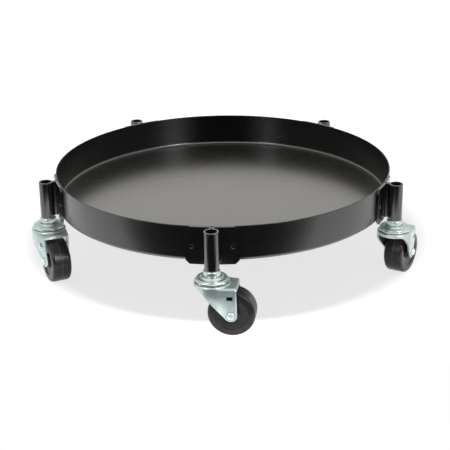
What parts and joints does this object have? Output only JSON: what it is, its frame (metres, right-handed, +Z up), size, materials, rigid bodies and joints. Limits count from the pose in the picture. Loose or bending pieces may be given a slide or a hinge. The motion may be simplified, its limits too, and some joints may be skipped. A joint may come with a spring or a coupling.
{
  "type": "plant pot caddy",
  "caption": "Round black sheet-metal tray for a plant pot, carried on zinc-plated swivel casters whose stems plug into tube sockets welded round its wall.",
  "frame": {"origin": "centre of the upper face of the pan's floor, where the pot stands", "axes": "+Z up; the front caster's socket is at -Y; the other sockets follow every 72 degrees"},
  "size_m": [0.4496, 0.4469, 0.1141],
  "materials": {
    "pan_coat": "semi-gloss black powder coat",
    "socket_coat": "semi-gloss black powder coat",
    "stem_zinc": "bright zinc plate",
    "ring_steel": "spring steel",
    "washer_zinc": "zinc plate",
    "cap_zinc": "bright zinc plate",
    "ball_steel": "polished",
    "fork_zinc": "bright zinc plate",
    "rivet_zinc": "bright zinc plate",
    "bush_steel": "turned",
    "wheel_rubber": "moulded hard rubber"
  },
  "bodies": {
    "caddy_base": {"pan": "pan_coat", "front_socket_bracket": "socket_coat", "front_stem": "stem_zinc", "front_grip_ring": "ring_steel", "front_lower_washer": "washer_zinc", "front_race_cap": "cap_zinc", "right_socket_bracket": "socket_coat", "right_stem": "stem_zinc", "right_grip_ring": "ring_steel", "right_lower_washer": "washer_zinc", "right_race_cap": "cap_zinc", "rear_right_socket_bracket": "socket_coat", "rear_right_stem": "stem_zinc", "rear_right_grip_ring": "ring_steel", "rear_right_lower_washer": "washer_zinc", "rear_right_race_cap": "cap_zinc", "rear_left_socket_bracket": "socket_coat", "rear_left_stem": "stem_zinc", "rear_left_grip_ring": "ring_steel", "rear_left_lower_washer": "washer_zinc", "rear_left_race_cap": "cap_zinc", "left_socket_bracket": "socket_coat", "left_stem": "stem_zinc", "left_grip_ring": "ring_steel", "left_lower_washer": "washer_zinc", "left_race_cap": "cap_zinc"},
    "front_swivel": {"front_fork": "fork_zinc", "front_race_balls": "ball_steel", "front_axle_rivet": "rivet_zinc", "front_axle_bush": "bush_steel"},
    "front_roller": {"front_wheel": "wheel_rubber"},
    "right_swivel": {"right_fork": "fork_zinc", "right_race_balls": "ball_steel", "right_axle_rivet": "rivet_zinc", "right_axle_bush": "bush_steel"},
    "right_roller": {"right_wheel": "wheel_rubber"},
    "rear_right_swivel": {"rear_right_fork": "fork_zinc", "rear_right_race_balls": "ball_steel", "rear_right_axle_rivet": "rivet_zinc", "rear_right_axle_bush": "bush_steel"},
    "rear_right_roller": {"rear_right_wheel": "wheel_rubber"},
    "rear_left_swivel": {"rear_left_fork": "fork_zinc", "rear_left_race_balls": "ball_steel", "rear_left_axle_rivet": "rivet_zinc", "rear_left_axle_bush": "bush_steel"},
    "rear_left_roller": {"rear_left_wheel": "wheel_rubber"},
    "left_swivel": {"left_fork": "fork_zinc", "left_race_balls": "ball_steel", "left_axle_rivet": "rivet_zinc", "left_axle_bush": "bush_steel"},
    "left_roller": {"left_wheel": "wheel_rubber"}
  },
  "joints": [
    {"name": "front_swivel_turn", "type": "hinge", "parent": "caddy_base", "child": "front_swivel", "pos_m": [0, -0.2101, -0.0171], "axis": [0, 0, 1], "continuous": true},
    {"name": "front_wheel_roll", "type": "hinge", "parent": "front_swivel", "child": "front_roller", "pos_m": [0.02101, -0.21209, -0.0502], "axis": [0.0941, 0.9956, 0], "continuous": true},
    {"name": "right_swivel_turn", "type": "hinge", "parent": "caddy_base", "child": "right_swivel", "pos_m": [0.19982, -0.06492, -0.0171], "axis": [0, 0, 1], "continuous": true},
    {"name": "right_wheel_roll", "type": "hinge", "parent": "right_swivel", "child": "right_roller", "pos_m": [0.20969, -0.04628, -0.0502], "axis": [-0.8838, 0.4679, 0], "continuous": true},
    {"name": "rear_right_swivel_turn", "type": "hinge", "parent": "caddy_base", "child": "rear_right_swivel", "pos_m": [0.12349, 0.16997, -0.0171], "axis": [0, 0, 1], "continuous": true},
    {"name": "rear_right_wheel_roll", "type": "hinge", "parent": "rear_right_swivel", "child": "rear_right_roller", "pos_m": [0.11983, 0.19075, -0.0502], "axis": [-0.9848, -0.1736, 0], "continuous": true},
    {"name": "rear_left_swivel_turn", "type": "hinge", "parent": "caddy_base", "child": "rear_left_swivel", "pos_m": [-0.12349, 0.16997, -0.0171], "axis": [0, 0, 1], "continuous": true},
    {"name": "rear_left_wheel_roll", "type": "hinge", "parent": "rear_left_swivel", "child": "rear_left_roller", "pos_m": [-0.14387, 0.17544, -0.0502], "axis": [-0.2588, -0.9659, 0], "continuous": true},
    {"name": "left_swivel_turn", "type": "hinge", "parent": "caddy_base", "child": "left_swivel", "pos_m": [-0.19982, -0.06492, -0.0171], "axis": [0, 0, 1], "continuous": true},
    {"name": "left_wheel_roll", "type": "hinge", "parent": "left_swivel", "child": "left_roller", "pos_m": [-0.18985, -0.08352, -0.0502], "axis": [0.8813, 0.4726, 0], "continuous": true}
  ]
}
